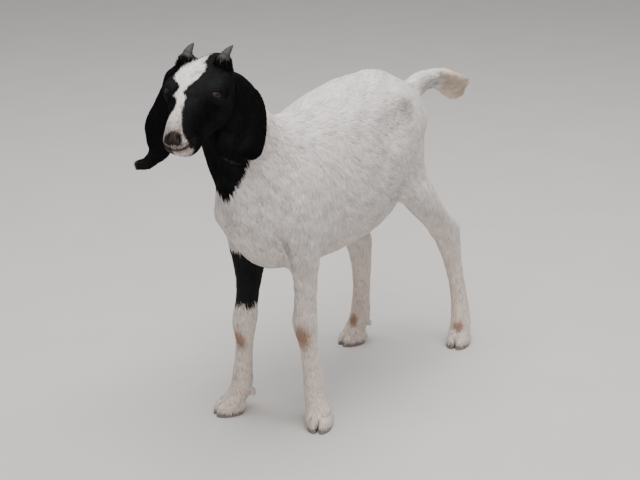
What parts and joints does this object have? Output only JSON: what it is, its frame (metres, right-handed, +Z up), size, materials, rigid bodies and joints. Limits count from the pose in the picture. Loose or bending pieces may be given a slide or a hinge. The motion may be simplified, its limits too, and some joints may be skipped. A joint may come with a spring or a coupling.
{
  "type": "goat",
  "caption": "Still life-size model of a young lop-eared goat with short horns, standing with its head raised and its tail held out.",
  "frame": {"origin": "on the floor, under the middle of the animal's box", "axes": "+X forwards from tail to chest, +Y to the goat's left, +Z up"},
  "size_m": [0.7992, 0.1976, 0.6202],
  "materials": {
    "coat_white": "short, close-lying white hair, warm grey in the shade",
    "coat_black": "short, close-lying black hair with a slight sheen",
    "coat_cream": "very short hair over pinkish skin, on the lower legs",
    "horn": "grey-brown horn with fine growth lines",
    "hoof": "dark grey hoof horn, worn lighter at the rim",
    "eye": "wet, amber-brown iris with a level dark pupil"
  },
  "bodies": {
    "root": {"ear_left": "coat_black", "ear_right": "coat_black", "eye_left": "eye", "eye_right": "eye", "fore_left_claw_left": "hoof", "fore_left_claw_right": "hoof", "fore_left_dewclaw_left": "hoof", "fore_left_dewclaw_right": "hoof", "fore_left_leg": "coat_cream", "fore_right_claw_left": "hoof", "fore_right_claw_right": "hoof", "fore_right_dewclaw_left": "hoof", "fore_right_dewclaw_right": "hoof", "fore_right_leg": "coat_cream", "head": "coat_black", "hind_left_claw_left": "hoof", "hind_left_claw_right": "hoof", "hind_left_dewclaw_left": "hoof", "hind_left_dewclaw_right": "hoof", "hind_left_leg": "coat_cream", "hind_right_claw_left": "hoof", "hind_right_claw_right": "hoof", "hind_right_dewclaw_left": "hoof", "hind_right_dewclaw_right": "hoof", "hind_right_leg": "coat_cream", "horn_left": "horn", "horn_right": "horn", "neck": "coat_black", "tail": "coat_white", "trunk": "coat_white"}
  },
  "joints": []
}
